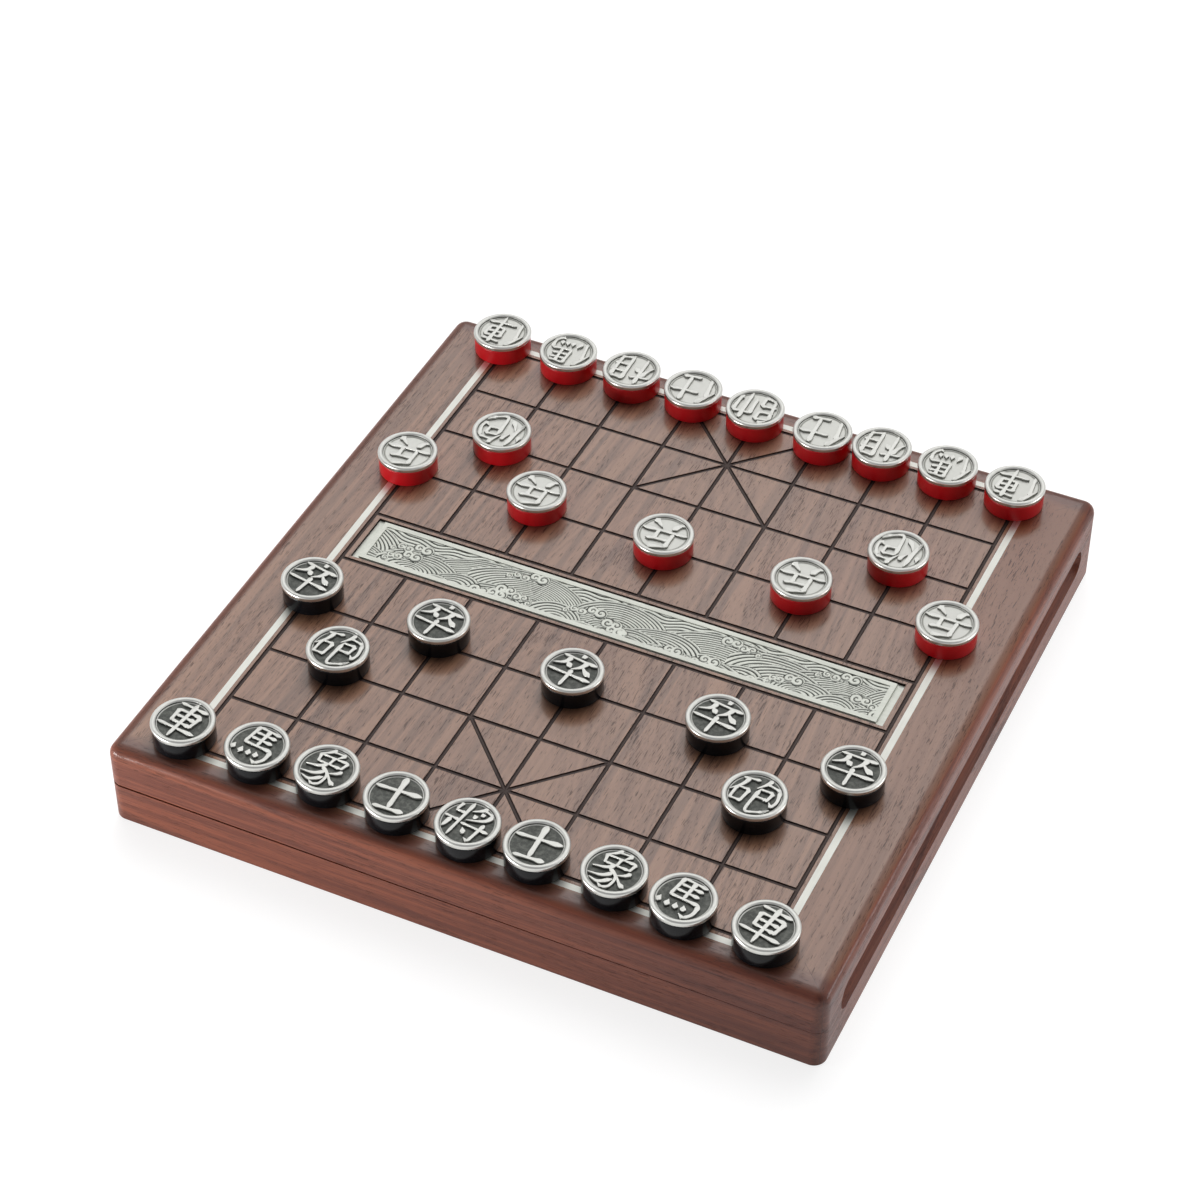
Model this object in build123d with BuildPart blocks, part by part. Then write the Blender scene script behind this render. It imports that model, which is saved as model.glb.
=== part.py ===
from build123d import *
from math import atan2, degrees, hypot
import os

# A xiangqi (Chinese chess) box. Two shallow trays of mitred wooden walls are hinged along the
# left side. The lid's outer face is the playing board, with routed lines, inlaid metal strips
# and a metal river plate, and the 32 pieces stand on it as for the first move.
# Millimetres. +X is to the right, +Y away from the black side and +Z up.
# The origin is in the middle of the underside, which stands on the table.

# Playing grid, with its middle over the origin
FILES = 9
RANKS = 10
FILE_PITCH = 31.0
RANK_PITCH = 31.25
LINE_WIDTH = 1.8
LINE_DEPTH = 0.5
RIVER_RANK = 4  # the river lies between this rank and the next
PALACE_FILES = (3, 5)

# Box
WIDTH = 310.0
HEIGHT = 39.0
WALL = 13.4
CORNER_RADIUS = 5.5  # upright corners
ARRIS_RADIUS = 5.0  # top edge of the lid
FOOT_RADIUS = 0.8  # bottom edge of the base
BASE_TOP = 19.0
SEAM_LEFT = 1.0  # gap under the lid at the hinged side
SEAM_RIGHT = 0.15  # and at the side that opens

# Panels let into rebates of the walls
REBATE = 3.0
BOARD_THICKNESS = 7.0
FLOOR_THICKNESS = 4.0
LINING = 1.0
PARTITION_THICKNESS = 6.0
PARTITION_TOP = 17.5
PARTITION_EDGE = 1.0

# Inlaid strips round the grid and the plate in the river
STRIP_WIDTH = 2.9
STRIP_DEPTH = 1.5
STRIP_MARGIN = 2.4  # from the middle of the outer line to the strip
RIVER_RECESS = (242.0, 26.6, 2.4)
PLATE_CLEARANCE = 0.1
PLATE_THICKNESS = 1.2
PLATE_FRAME = (235.4, 24.3)
PLATE_BORDER = 2.3
PLATE_POCKET_DEPTH = 0.9

# Finger cove, cut with a ball-nosed cutter along the right side
COVE_RADIUS = 7.0
COVE_DEPTH = 6.0
COVE_LENGTH = 278.0

# Hinges
HINGE_SPACING = 190.0
LEAF_LENGTH = 40.0
LEAF_WIDTH = 9.0
LEAF_THICKNESS = 1.2
BARREL_RADIUS = 2.1
BARREL_STAND_OFF = 0.3  # between the barrel and the side of the box
OUTER_KNUCKLE = 12.0
KNUCKLE_GAP = 0.3
PIN_RADIUS = 1.0
BORE_RADIUS = 1.05
PIN_HEAD_RADIUS = 1.6
PIN_HEAD_HEIGHT = 0.8

# Game pieces: turned discs with a raised rim round a sunk face
PIECE_HEIGHT = 10.3
PIECE_RADIUS = 13.15
RIM_WIDTH = 2.5
DISH_DEPTH = 1.3

# Each piece of a side: its file, its rank and how far from the crossing it was set down
BLACK_PIECES = {
    "chariot_left": (0, 0, (-4.5, 3.0)),
    "horse_left": (1, 0, (-2.0, 3.5)),
    "elephant_left": (2, 0, (-2.0, 4.0)),
    "advisor_left": (3, 0, (-1.5, 2.5)),
    "general": (4, 0, (-1.0, 1.5)),
    "advisor_right": (5, 0, (-3.0, 2.5)),
    "elephant_right": (6, 0, (-1.5, 3.0)),
    "horse_right": (7, 0, (-3.0, 1.0)),
    "chariot_right": (8, 0, (-0.5, 1.5)),
    "cannon_left": (1, 2, (0.0, 3.5)),
    "cannon_right": (7, 2, (0.0, -0.5)),
    "soldier_1": (0, 3, (1.0, 5.0)),
    "soldier_2": (2, 3, (-1.5, 4.5)),
    "soldier_3": (4, 3, (-1.0, 1.0)),
    "soldier_4": (6, 3, (1.0, 1.5)),
    "soldier_5": (8, 3, (-1.5, -2.5)),
}
RED_PIECES = {
    "chariot_left": (0, 9, (-2.0, 1.5)),
    "horse_left": (1, 9, (0.5, 1.0)),
    "elephant_left": (2, 9, (1.0, 1.0)),
    "advisor_left": (3, 9, (0.5, 0.5)),
    "general": (4, 9, (0.0, -0.5)),
    "advisor_right": (5, 9, (2.0, -2.5)),
    "elephant_right": (6, 9, (-1.5, -1.5)),
    "horse_right": (7, 9, (-2.0, -1.0)),
    "chariot_right": (8, 9, (-2.0, -1.5)),
    "cannon_left": (1, 7, (-1.5, 0.0)),
    "cannon_right": (7, 7, (-1.0, 0.0)),
    "soldier_1": (0, 6, (-1.5, 1.5)),
    "soldier_2": (2, 6, (-1.0, 1.5)),
    "soldier_3": (4, 6, (-2.0, -1.0)),
    "soldier_4": (6, 6, (-0.5, -2.0)),
    "soldier_5": (8, 6, (2.0, -1.5)),
}

# Worked out from the driving dimensions. The strips at the front and back edges of the board
# run along the walls, which sets the depth of the box.
STRIP_INNER = (
    (FILES - 1) * FILE_PITCH + 2 * STRIP_MARGIN,
    (RANKS - 1) * RANK_PITCH + 2 * STRIP_MARGIN,
)
DEPTH = STRIP_INNER[1] + 2 * (STRIP_WIDTH + WALL - REBATE)
INNER_WIDTH = WIDTH - 2 * WALL
INNER_DEPTH = DEPTH - 2 * WALL
PANEL_WIDTH = INNER_WIDTH + 2 * REBATE
PANEL_DEPTH = INNER_DEPTH + 2 * REBATE
BOARD_UNDERSIDE = HEIGHT - BOARD_THICKNESS
PLATE_BOTTOM = HEIGHT - RIVER_RECESS[2]
COVE_X = WIDTH / 2 - COVE_DEPTH + COVE_RADIUS
COVE_Z = HEIGHT / 2
HINGE_X = -WIDTH / 2 - BARREL_STAND_OFF - BARREL_RADIUS
HINGE_Z = BASE_TOP + SEAM_LEFT / 2  # half the height, so the open lid lies flat on the table
LEAF_X = (LEAF_WIDTH - WIDTH) / 2
MIDDLE_KNUCKLE = LEAF_LENGTH - 2 * (OUTER_KNUCKLE + KNUCKLE_GAP)
SEAM_SLOPE = (SEAM_RIGHT - SEAM_LEFT) / WIDTH

# The corners at the ends of each wall, as signs of X and Y
SIDES = {
    "front": ((-1, -1), (1, -1)),
    "right": ((1, -1), (1, 1)),
    "back": ((1, 1), (-1, 1)),
    "left": ((-1, 1), (-1, -1)),
}


def save(piece, name):
    """Label a finished piece and write it as one STEP file."""
    piece.part.label = name
    export_step(piece.part, f"parts/{name}.step")


def crossing(file, rank):
    """Where a file and a rank meet on the board."""
    return ((file - (FILES - 1) / 2) * FILE_PITCH, (rank - (RANKS - 1) / 2) * RANK_PITCH)


def line(start, end, overrun=0.0):
    """Add a playing line from one crossing to another to the open sketch."""
    (x0, y0), (x1, y1) = crossing(*start), crossing(*end)
    length = hypot(x1 - x0, y1 - y0) + 2 * overrun
    with Locations(((x0 + x1) / 2, (y0 + y1) / 2)):
        Rectangle(length, LINE_WIDTH, rotation=degrees(atan2(y1 - y0, x1 - x0)))


def playing_lines():
    """Add every line of the grid and of the two palaces to the open sketch."""
    last_file, last_rank = FILES - 1, RANKS - 1
    for rank in range(RANKS):
        line((0, rank), (last_file, rank))
    for file in (0, last_file):
        line((file, 0), (file, last_rank), overrun=LINE_WIDTH / 2)
    for file in range(1, last_file):
        line((file, 0), (file, RIVER_RANK))
        line((file, RIVER_RANK + 1), (file, last_rank))
    left, right = PALACE_FILES
    for low, high in ((0, 2), (last_rank - 2, last_rank)):
        line((left, low), (right, high))
        line((left, high), (right, low))


def frame_outline(inner, width):
    """Add a rectangular frame round a given inner size to the open sketch."""
    Rectangle(inner[0] + 2 * width, inner[1] + 2 * width)
    Rectangle(*inner, mode=Mode.SUBTRACT)


def wall_section(side, outside, inside):
    """Add the plan of one side to the open sketch, mitred at both ends.

    It runs from `outside` beyond the faces of the box to `inside` within them.
    """
    def on_mitre(corner, inset):
        return (corner[0] * (WIDTH / 2 - inset), corner[1] * (DEPTH / 2 - inset))

    first, second = SIDES[side]
    Polygon(
        on_mitre(first, -outside),
        on_mitre(second, -outside),
        on_mitre(second, inside),
        on_mitre(first, inside),
        align=None,
    )


def cove_cutter():
    """What the ball-nosed cutter sweeps: a round bar with half-ball ends."""
    with BuildPart() as cutter:
        with BuildSketch(Plane.XY.offset(COVE_Z)):
            with Locations((COVE_X, 0)):
                SlotOverall(COVE_LENGTH, 2 * COVE_RADIUS, rotation=90)
            with Locations((COVE_X + COVE_RADIUS, 0)):
                Rectangle(2 * COVE_RADIUS, COVE_LENGTH, mode=Mode.SUBTRACT)
        revolve(axis=Axis((COVE_X, 0, COVE_Z), (0, 1, 0)))
    return cutter.part


def wall_ring(bottom, top):
    """Four walls in one ring, square at the edges."""
    with BuildPart() as ring:
        with BuildSketch(Plane.XY.offset(bottom)):
            RectangleRounded(WIDTH, DEPTH, CORNER_RADIUS)
            Rectangle(INNER_WIDTH, INNER_DEPTH, mode=Mode.SUBTRACT)
        extrude(amount=top - bottom)
    return ring.part


def cut_rectangle(size, face, depth, centres=((0, 0),)):
    """Cut a rectangular recess into the open part, down from `face` or up if depth is negative."""
    with BuildSketch(Plane.XY.offset(face)) as outline:
        with Locations(*centres):
            Rectangle(*size)
    extrude(outline.sketch, amount=-depth, mode=Mode.SUBTRACT)


def slab(size, bottom, thickness, centre=(0, 0)):
    """A plain rectangular sheet."""
    with BuildPart() as sheet:
        with BuildSketch(Plane.XY.offset(bottom)):
            with Locations(centre):
                Rectangle(*size)
        extrude(amount=thickness)
    return sheet


def hinge_leaf(y, plate_bottom, knuckles):
    """A hinge leaf: its plate and its share of the knuckles, bored for the pin.

    Each knuckle is given by its middle, along the pin from y, and its length.
    """
    web = -WIDTH / 2 - HINGE_X
    with BuildPart() as leaf:
        with BuildSketch(Plane.XY.offset(plate_bottom)):
            with Locations((LEAF_X, y)):
                Rectangle(LEAF_WIDTH, LEAF_LENGTH)
            for middle, length in knuckles:
                with Locations((HINGE_X + web / 2, y + middle)):
                    Rectangle(web, length)
        extrude(amount=LEAF_THICKNESS)
        for middle, length in knuckles:
            with BuildSketch(Plane.XZ.offset(-y - middle)):
                with Locations((HINGE_X, HINGE_Z)):
                    Circle(BARREL_RADIUS)
            extrude(amount=length / 2, both=True)
        with BuildSketch(Plane.XZ.offset(-y)):
            with Locations((HINGE_X, HINGE_Z)):
                Circle(BORE_RADIUS)
        extrude(amount=LEAF_LENGTH, both=True, mode=Mode.SUBTRACT)
    return leaf


def hinge_pin(y):
    """The pin through a hinge's knuckles, with a flat head at each end."""
    half = LEAF_LENGTH / 2
    with BuildPart() as pin:
        with BuildSketch(Plane.XZ.offset(-y)):
            with Locations((HINGE_X, HINGE_Z)):
                Circle(PIN_RADIUS)
        extrude(amount=half, both=True)
        for end, outward in ((-half, PIN_HEAD_HEIGHT), (half, -PIN_HEAD_HEIGHT)):
            with BuildSketch(Plane.XZ.offset(-y - end)):
                with Locations((HINGE_X, HINGE_Z)):
                    Circle(PIN_HEAD_RADIUS)
            extrude(amount=outward)
    return pin


def game_piece(x, y):
    """One piece, standing on the board."""
    foot = (x, y, HEIGHT)
    face = PIECE_HEIGHT - DISH_DEPTH
    with BuildPart() as disc:
        with BuildSketch(Plane(foot, x_dir=(1, 0, 0), z_dir=(0, -1, 0))):
            with BuildLine():
                Polyline(
                    (0, 0),
                    (PIECE_RADIUS, 0),
                    (PIECE_RADIUS, PIECE_HEIGHT),
                    (PIECE_RADIUS - RIM_WIDTH, PIECE_HEIGHT),
                    (PIECE_RADIUS - RIM_WIDTH, face),
                    (0, face),
                    close=True,
                )
            make_face()
        revolve(axis=Axis(foot, (0, 0, 1)))
    return disc


os.makedirs("parts", exist_ok=True)

# Lid walls: a rounded top edge, a rebate for the board, a seam that closes to the right,
# mortises for the hinge leaves and the upper half of the cove
cutter = cove_cutter()
leaf_centres = [(LEAF_X, -HINGE_SPACING / 2), (LEAF_X, HINGE_SPACING / 2)]
leaf_size = (LEAF_WIDTH, LEAF_LENGTH)
seam = Plane(
    (-WIDTH / 2, 0, BASE_TOP + SEAM_LEFT),
    x_dir=(1, 0, SEAM_SLOPE),
    z_dir=(-SEAM_SLOPE, 0, 1),
)

with BuildPart() as lid_walls:
    add(wall_ring(BASE_TOP, HEIGHT))
    cut_rectangle((PANEL_WIDTH, PANEL_DEPTH), HEIGHT, BOARD_THICKNESS)
    fillet(lid_walls.faces().sort_by(Axis.Z)[-1].outer_wire().edges(), radius=ARRIS_RADIUS)
    split(bisect_by=seam, keep=Keep.TOP)
    cut_rectangle(leaf_size, BASE_TOP, -SEAM_LEFT - LEAF_THICKNESS, leaf_centres)
    add(cutter, mode=Mode.SUBTRACT)

# Base walls: the same below the seam, with a rebate for the floor
with BuildPart() as base_walls:
    add(wall_ring(0, BASE_TOP))
    cut_rectangle((PANEL_WIDTH, PANEL_DEPTH), FLOOR_THICKNESS, FLOOR_THICKNESS)
    fillet(base_walls.faces().sort_by(Axis.Z)[0].outer_wire().edges(), radius=FOOT_RADIUS)
    cut_rectangle(leaf_size, BASE_TOP, LEAF_THICKNESS, leaf_centres)
    add(cutter, mode=Mode.SUBTRACT)

for tray, ring in (("lid", lid_walls.part), ("base", base_walls.part)):
    for side in SIDES:
        with BuildPart() as wall:
            add(ring)
            with BuildSketch(Plane.XY):
                wall_section(side, outside=WALL, inside=2 * WALL)
            extrude(amount=HEIGHT, mode=Mode.INTERSECT)
        save(wall, f"{tray}_{side}")

# Board: the panel that closes the lid, with its lines, strip groove and river recess
with BuildPart() as board_panel:
    with BuildSketch(Plane.XY.offset(BOARD_UNDERSIDE)):
        Rectangle(PANEL_WIDTH, PANEL_DEPTH)
    extrude(amount=BOARD_THICKNESS)
    with BuildSketch(Plane.XY.offset(HEIGHT)):
        playing_lines()
    extrude(amount=-LINE_DEPTH, mode=Mode.SUBTRACT)
    with BuildSketch(Plane.XY.offset(HEIGHT)):
        frame_outline(STRIP_INNER, STRIP_WIDTH)
    extrude(amount=-STRIP_DEPTH, mode=Mode.SUBTRACT)
    cut_rectangle(RIVER_RECESS[:2], HEIGHT, RIVER_RECESS[2])
save(board_panel, "board_panel")

# Metal strips, mitred where they meet
strip_reach = (STRIP_INNER[0] / 2, STRIP_INNER[1] / 2)
for side, (first, second) in SIDES.items():
    with BuildPart() as strip:
        with BuildSketch(Plane.XY.offset(HEIGHT - STRIP_DEPTH)):
            Polygon(
                *[(sx * (strip_reach[0] + out), sy * (strip_reach[1] + out))
                  for (sx, sy), out in ((first, STRIP_WIDTH), (second, STRIP_WIDTH),
                                        (second, 0), (first, 0))],
                align=None,
            )
        extrude(amount=STRIP_DEPTH)
    save(strip, f"inlay_{side}")

# River plate: a sheet in its recess, with a raised frame flush with the board
with BuildPart() as river_plate:
    with BuildSketch(Plane.XY.offset(PLATE_BOTTOM)):
        Rectangle(RIVER_RECESS[0] - 2 * PLATE_CLEARANCE, RIVER_RECESS[1] - 2 * PLATE_CLEARANCE)
    extrude(amount=PLATE_THICKNESS)
    with BuildSketch(Plane.XY.offset(PLATE_BOTTOM + PLATE_THICKNESS)):
        Rectangle(*PLATE_FRAME)
    extrude(amount=RIVER_RECESS[2] - PLATE_THICKNESS)
    cut_rectangle([size - 2 * PLATE_BORDER for size in PLATE_FRAME], HEIGHT, PLATE_POCKET_DEPTH)
save(river_plate, "river_plate")

save(slab((INNER_WIDTH, INNER_DEPTH), BOARD_UNDERSIDE - LINING, LINING), "lid_lining")

# Base: floor, partition and the linings of its two wells
save(slab((PANEL_WIDTH, PANEL_DEPTH), 0, FLOOR_THICKNESS), "floor_panel")

with BuildPart() as partition:
    with BuildSketch(Plane.XY.offset(FLOOR_THICKNESS)):
        Rectangle(INNER_WIDTH, PARTITION_THICKNESS)
    extrude(amount=PARTITION_TOP - FLOOR_THICKNESS)
    top_edges = partition.edges().filter_by(Axis.X).group_by(Axis.Z)[-1]
    fillet(top_edges, radius=PARTITION_EDGE)
save(partition, "partition")

well_depth = (INNER_DEPTH - PARTITION_THICKNESS) / 2
well_middle = (well_depth + PARTITION_THICKNESS) / 2
for end, y in (("front", -well_middle), ("back", well_middle)):
    save(slab((INNER_WIDTH, well_depth), FLOOR_THICKNESS, LINING, (0, y)), f"base_lining_{end}")

# Hinges: the base leaf has the two outer knuckles and the lid leaf the middle one
outer_middle = (LEAF_LENGTH - OUTER_KNUCKLE) / 2
outer_knuckles = [(-outer_middle, OUTER_KNUCKLE), (outer_middle, OUTER_KNUCKLE)]
for end, y in (("front", -HINGE_SPACING / 2), ("back", HINGE_SPACING / 2)):
    save(hinge_leaf(y, BASE_TOP - LEAF_THICKNESS, outer_knuckles), f"hinge_{end}_base_leaf")
    save(hinge_leaf(y, BASE_TOP + SEAM_LEFT, [(0, MIDDLE_KNUCKLE)]), f"hinge_{end}_lid_leaf")
    save(hinge_pin(y), f"hinge_{end}_pin")

# Game pieces
for colour, pieces in (("black", BLACK_PIECES), ("red", RED_PIECES)):
    for name, (file, rank, shift) in pieces.items():
        x, y = crossing(file, rank)
        save(game_piece(x + shift[0], y + shift[1]), f"{colour}_{name}")
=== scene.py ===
from collections import namedtuple
from math import asin, atan2, cos, hypot, pi, radians, sin
from types import SimpleNamespace

import bmesh
import bpy
from mathutils import Matrix, Vector


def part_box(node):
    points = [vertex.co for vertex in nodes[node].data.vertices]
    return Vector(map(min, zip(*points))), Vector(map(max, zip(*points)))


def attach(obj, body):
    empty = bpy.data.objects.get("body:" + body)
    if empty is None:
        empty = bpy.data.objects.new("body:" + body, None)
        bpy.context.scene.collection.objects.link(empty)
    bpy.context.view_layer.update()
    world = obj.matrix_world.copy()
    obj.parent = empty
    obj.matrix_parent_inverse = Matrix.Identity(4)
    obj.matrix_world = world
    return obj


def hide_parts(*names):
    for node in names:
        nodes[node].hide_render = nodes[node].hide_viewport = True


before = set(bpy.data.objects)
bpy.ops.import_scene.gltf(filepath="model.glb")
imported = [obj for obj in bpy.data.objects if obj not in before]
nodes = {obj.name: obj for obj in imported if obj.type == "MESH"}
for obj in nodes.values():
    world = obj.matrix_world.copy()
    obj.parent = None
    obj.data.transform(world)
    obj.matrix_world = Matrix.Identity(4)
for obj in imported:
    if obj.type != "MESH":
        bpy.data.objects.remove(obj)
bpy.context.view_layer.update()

MM = 0.001


# ---------------------------------------------------------------- sizes and places from the frame

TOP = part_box("board_panel")[1].z
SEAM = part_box("base_front")[1].z
HALF_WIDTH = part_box("base_right")[1].x
HALF_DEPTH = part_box("base_back")[1].y
WALL_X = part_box("lid_right")[0].x  # inner faces of the walls
WALL_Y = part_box("lid_back")[0].y
STRIP_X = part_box("inlay_right")[1].x
PLATE_LOW, PLATE_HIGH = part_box("river_plate")

PIECES = [name for name in sorted(nodes) if name.startswith(("black_", "red_"))]
PIECE_LOW, PIECE_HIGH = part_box(PIECES[0])
PIECE_HEIGHT = PIECE_HIGH.z - PIECE_LOW.z
PIECE_RADIUS = (PIECE_HIGH.x - PIECE_LOW.x) / 2


# ---------------------------------------------------------------- other sizes

FILE_PITCH = 31.0 * MM
RANK_PITCH = 31.25 * MM
LINE_DEPTH = 0.5 * MM
SEAM_LEFT = 1.0 * MM  # gap of the seam at the hinges

FOOT_GAP = 0.02 * MM  # under a game piece, so that two faces don't lie in one plane
CAP_UNDER = PIECE_HEIGHT - 2.5 * MM  # heights above the foot of a game piece
CAP_GROUND = PIECE_HEIGHT - 1.3 * MM
CAP_SIGN = PIECE_HEIGHT - 0.35 * MM
RIM = 1.15 * MM  # radius of a cap's round rim
RIM_INSIDE = PIECE_RADIUS - 2 * RIM
GROUND_RADIUS = RIM_INSIDE - 0.62 * MM
SIGN_SIZE = PIECE_RADIUS * 1.64
SIGN_REACH = PIECE_RADIUS * 0.78
STROKE_WIDTH = 1.65 * MM
STROKE_LIFT = 0.012 * MM  # of each stroke above the one before

POCKET_LENGTH = PLATE_HIGH.x - PLATE_LOW.x - 10.5 * MM
POCKET_WIDTH = PLATE_HIGH.y - PLATE_LOW.y - 6.2 * MM
POCKET_FLOOR = TOP - 0.9 * MM
WATER_LOW = POCKET_FLOOR + 0.12 * MM
WATER_RISE = 0.70 * MM
WATER_STEP = 0.25 * MM  # between the points of the cast sheet
WAVE_PITCH = 1.95 * MM

SCREW_RADIUS = 1.9 * MM
SCREW_SLOT = 0.28 * MM  # half the width of the slot
SCREW_FROM_EDGE = 4.8 * MM
SCREW_SPREAD = 12 * MM  # from the middle of a leaf


# ---------------------------------------------------------------- shader helper

def srgb(red, green, blue):
    """A colour given as 0 to 255 screen values, as Blender's linear colour."""
    linear = []
    for value in (red, green, blue):
        part = value / 255
        linear.append(part / 12.92 if part <= 0.04045 else ((part + 0.055) / 1.055) ** 2.4)
    return (*linear, 1.0)


class Wire:
    """An output socket in a node tree. Its operators add Math nodes."""

    def __init__(self, tree, socket=None):
        self.tree = tree
        self.socket = socket

    def node(self, kind, settings, values, output=0):
        """Adds a node of a kind, sets it up, feeds its sockets and gives one output."""
        made = self.tree.nodes.new(kind)
        for name, value in settings.items():
            setattr(made, name, value)
        for key, value in values.items():
            socket = made.inputs[key]
            if isinstance(value, Wire):
                self.tree.links.new(value.socket, socket)
            else:
                socket.default_value = value
        return Wire(self.tree, made.outputs[output])

    def math(self, operation, first, second=0.0):
        return self.node("ShaderNodeMath", {"operation": operation}, {0: first, 1: second})

    def __add__(self, other):
        return self.math("ADD", self, other)

    def __radd__(self, other):
        return self.math("ADD", other, self)

    def __sub__(self, other):
        return self.math("SUBTRACT", self, other)

    def __rsub__(self, other):
        return self.math("SUBTRACT", other, self)

    def __mul__(self, other):
        return self.math("MULTIPLY", self, other)

    def __rmul__(self, other):
        return self.math("MULTIPLY", other, self)

    def __pow__(self, other):
        return self.math("POWER", self, other)

    def __abs__(self):
        return self.math("ABSOLUTE", self)

    def larger(self, other):
        return self.math("MAXIMUM", self, other)

    def smaller(self, other):
        return self.math("MINIMUM", self, other)

    def root(self):
        return self.math("SQRT", self)

    def folded(self, size):
        """Runs from 0 up to a size and back, over and over."""
        return self.math("PINGPONG", self, size)

    def step(self, low, high):
        """0 below low and 1 above high, with a smooth change between them."""
        settings = {"interpolation_type": "SMOOTHSTEP"}
        return self.node("ShaderNodeMapRange", settings, {0: self, 1: low, 2: high, 3: 0.0, 4: 1.0})

    def mix(self, first, second):
        """A colour between two colours, with this value as the share of the second."""
        settings = {"data_type": "RGBA", "clamp_factor": True}
        return self.node("ShaderNodeMix", settings, {0: self, 6: first, 7: second}, output=2)

    def noise(self, scale, stretch=(1, 1, 1), detail=3.0, rough=0.5, shift=(0, 0, 0), warp=0.0):
        """Noise on this place socket. Scale is in lumps per metre, stretched by an axis each."""
        sizes = tuple(scale * part for part in stretch)
        place = self.node("ShaderNodeMapping", {}, {"Vector": self, "Location": shift, "Scale": sizes})
        values = {"Vector": place, "Scale": 1.0, "Detail": detail, "Roughness": rough}
        values["Distortion"] = warp
        return self.node("ShaderNodeTexNoise", {}, values)

    def band(self, scale, detail, rough):
        """Noise along one value, such as the distance from the heart of a log."""
        values = {"W": self * scale, "Scale": 1.0, "Detail": detail, "Roughness": rough}
        return self.node("ShaderNodeTexNoise", {"noise_dimensions": "1D"}, values)

    def axes(self):
        parts = self.node("ShaderNodeSeparateXYZ", {}, {0: self})
        return [Wire(self.tree, socket) for socket in parts.socket.node.outputs]

    def attribute(self, name):
        return self.node("ShaderNodeAttribute", {"attribute_name": name}, {}, output="Fac")


def material(name):
    """A material with one Principled shader. Gives it, its shader and its object place."""
    made = bpy.data.materials.new(name)
    made.use_nodes = True
    tree = made.node_tree
    shader = tree.nodes["Principled BSDF"]
    place = Wire(tree).node("ShaderNodeTexCoord", {}, {}, output="Object")
    return made, shader, place


def feed(shader, **values):
    """Sets or links sockets of a shader. Underlines stand for the spaces in their names."""
    for name, value in values.items():
        socket = shader.inputs[name.replace("_", " ")]
        if isinstance(value, Wire):
            value.tree.links.new(value.socket, socket)
        else:
            socket.default_value = value


def bump(height, distance, strength):
    values = {"Height": height, "Distance": distance, "Strength": strength}
    return height.node("ShaderNodeBump", {}, values)


# ---------------------------------------------------------------- walnut

WOOD_PALE = srgb(151, 106, 77)
WOOD_DEEP = srgb(103, 63, 43)
WOOD_DARK = srgb(72, 40, 28)
WOOD_SHEEN_GREY = srgb(150, 123, 107)
WOOD_WARM = srgb(122, 70, 40)
FLANK_PALE = srgb(147, 79, 54)
FLANK_DEEP = srgb(100, 47, 33)
FLANK_GRAIN_AND_SHADE = srgb(60, 26, 22)
EDGE_SHADE_BROWN = srgb(94, 47, 33)
ROLL_SHADE = srgb(74, 32, 23)
ARRIS_HIGHLIGHT = srgb(104, 54, 32)
PORE = srgb(46, 26, 21)
PORE_INSIDE = srgb(52, 32, 28)
SCORED = srgb(36, 27, 26)
SCORED_SHEEN = srgb(92, 82, 79)
GLUE_LINE = srgb(60, 36, 30)

HEART_BELOW = 50 * MM  # how far the heart of the log lies under the foot of the box
HEART_SLOPE = 0.07  # and how fast that grows along the grain
RING_SWAY = 50 * MM
RING_LEAN = 70 * MM

# Where a mark on the wood begins and ends, or the other way round, from what it follows.
FLANK_TOP = (TOP - 1.6 * MM, TOP - 0.2 * MM)
END_SHADE_SPAN = (7.0 * MM, 12.5 * MM)  # a darker rim of painted shade, from the front and back edges
SIDE_SHADE_SPAN = (3.8 * MM, 7.1 * MM)  # and from the left edge
ROLL_BACK = (4.4 * MM, 6.2 * MM)  # the rolled edge
ROLL_FOOT = (TOP - 2.8 * MM, TOP - 1.0 * MM)
ARRIS = 5.1 * MM  # a paler line of painted highlight where the roll meets the face
ARRIS_FADE = (0.1 * MM, 0.8 * MM)
MITRE_FADE = (0.08 * MM, 0.26 * MM)
SUNK_TOP = (TOP - 0.30 * MM, TOP - 0.03 * MM)
SUNK_FOOT = (SEAM, TOP - 4.0 * MM)
LINE_FADE = (0.10 * MM, 0.55 * MM)
LINE_BOTTOM = (TOP - LINE_DEPTH + 0.02 * MM, TOP - LINE_DEPTH + 0.10 * MM)


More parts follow.
